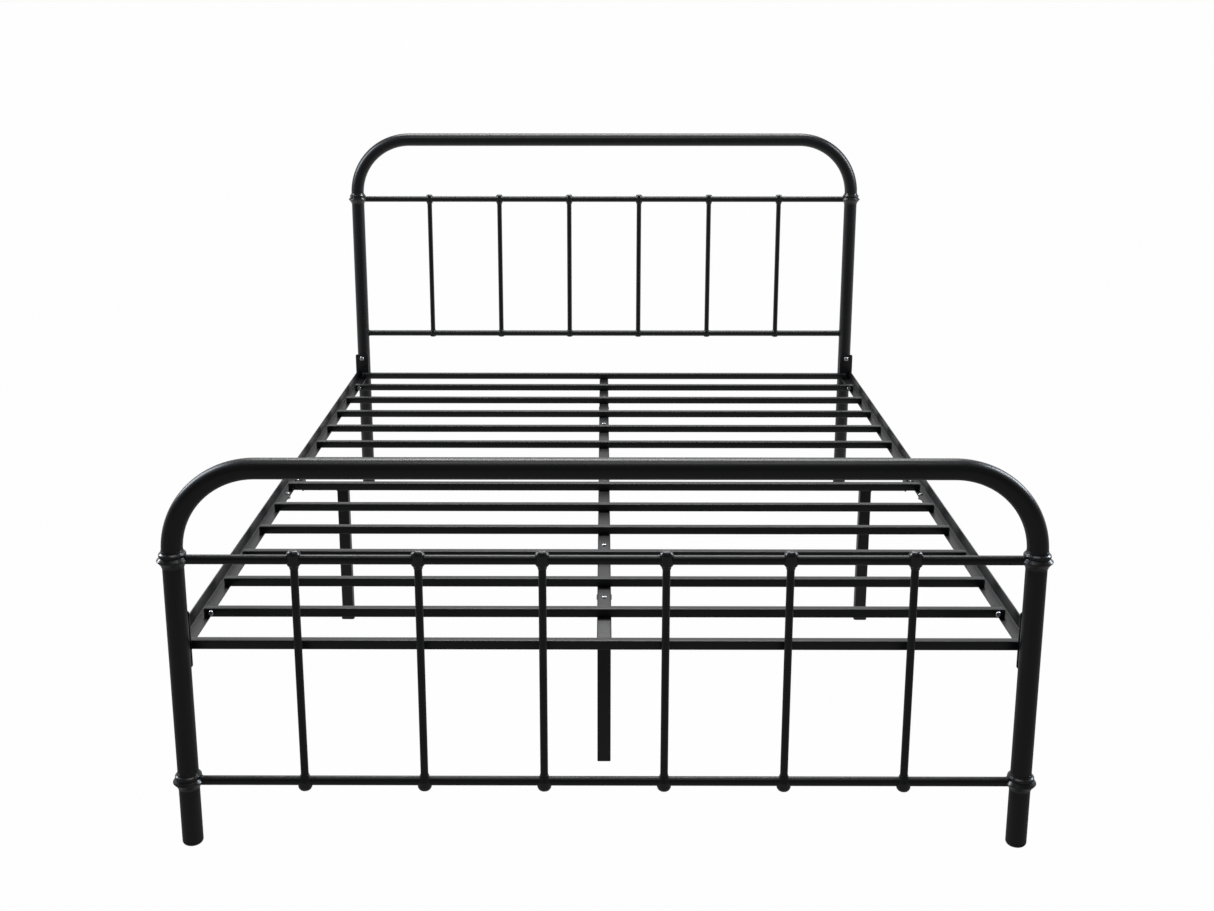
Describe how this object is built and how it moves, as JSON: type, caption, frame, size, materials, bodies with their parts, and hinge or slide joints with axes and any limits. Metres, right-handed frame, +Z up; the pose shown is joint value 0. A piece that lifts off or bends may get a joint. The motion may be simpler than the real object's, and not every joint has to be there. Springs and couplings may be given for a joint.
{
  "type": "metal bed frame",
  "caption": "Black tubular steel bed frame with an arched headboard and a lower arched footboard, spindles with cast knuckles, angle side rails, steel slats and support legs.",
  "frame": {"origin": "on the floor, at the middle of the frame's outline", "axes": "+Z up, +Y from the foot to the head, +X to the right as seen from the foot"},
  "size_m": [1.453, 2.0028, 1.0475],
  "materials": {
    "black_powder_coat": "satin black powder coat on steel tube and sheet",
    "black_casting": "satin black powder coat on small castings",
    "black_plastic": "black polyethylene, lightly textured",
    "zinc_steel": "bright zinc plate",
    "black_washer": "black oxide"
  },
  "bodies": {
    "root": {"beam_bolts": "zinc_steel", "centre_beam_end_plugs": "black_plastic", "centre_beam_foot_half": "black_powder_coat", "centre_beam_head_half": "black_powder_coat", "centre_beam_sleeve": "black_powder_coat", "centre_leg_plugs": "black_plastic", "centre_leg_straps": "black_powder_coat", "crossbar_hangers": "black_powder_coat", "foot_centre_leg": "black_powder_coat", "footboard_arch_tube": "black_powder_coat", "footboard_end_plates": "black_powder_coat", "footboard_feet": "black_plastic", "footboard_lower_collars": "black_casting", "footboard_lower_knuckles": "black_casting", "footboard_lower_rail": "black_powder_coat", "footboard_spindles": "black_powder_coat", "footboard_upper_collars": "black_casting", "footboard_upper_knuckles": "black_casting", "footboard_upper_rail": "black_powder_coat", "head_centre_leg": "black_powder_coat", "headboard_arch_tube": "black_powder_coat", "headboard_collars": "black_casting", "headboard_end_plates": "black_powder_coat", "headboard_feet": "black_plastic", "headboard_lower_knuckles": "black_casting", "headboard_lower_rail": "black_powder_coat", "headboard_spindles": "black_powder_coat", "headboard_upper_knuckles": "black_casting", "headboard_upper_rail": "black_powder_coat", "left_middle_leg": "black_powder_coat", "left_rail_foot_half": "black_powder_coat", "left_rail_head_half": "black_powder_coat", "left_splice_bar": "black_powder_coat", "middle_crossbar": "black_powder_coat", "middle_leg_shoes": "black_plastic", "post_bolts": "zinc_steel", "post_inserts": "zinc_steel", "right_middle_leg": "black_powder_coat", "right_rail_foot_half": "black_powder_coat", "right_rail_head_half": "black_powder_coat", "right_splice_bar": "black_powder_coat", "slat_01": "black_powder_coat", "slat_02": "black_powder_coat", "slat_03": "black_powder_coat", "slat_04": "black_powder_coat", "slat_05": "black_powder_coat", "slat_06": "black_powder_coat", "slat_07": "black_powder_coat", "slat_08": "black_powder_coat", "slat_09": "black_powder_coat", "slat_10": "black_powder_coat", "slat_11": "black_powder_coat", "slat_12": "black_powder_coat", "slat_13": "black_powder_coat", "slat_14": "black_powder_coat", "slat_end_plugs": "black_plastic", "small_nuts": "zinc_steel", "splice_bolts": "zinc_steel", "tie_bolts": "zinc_steel", "tie_washers": "black_washer"}
  },
  "joints": []
}
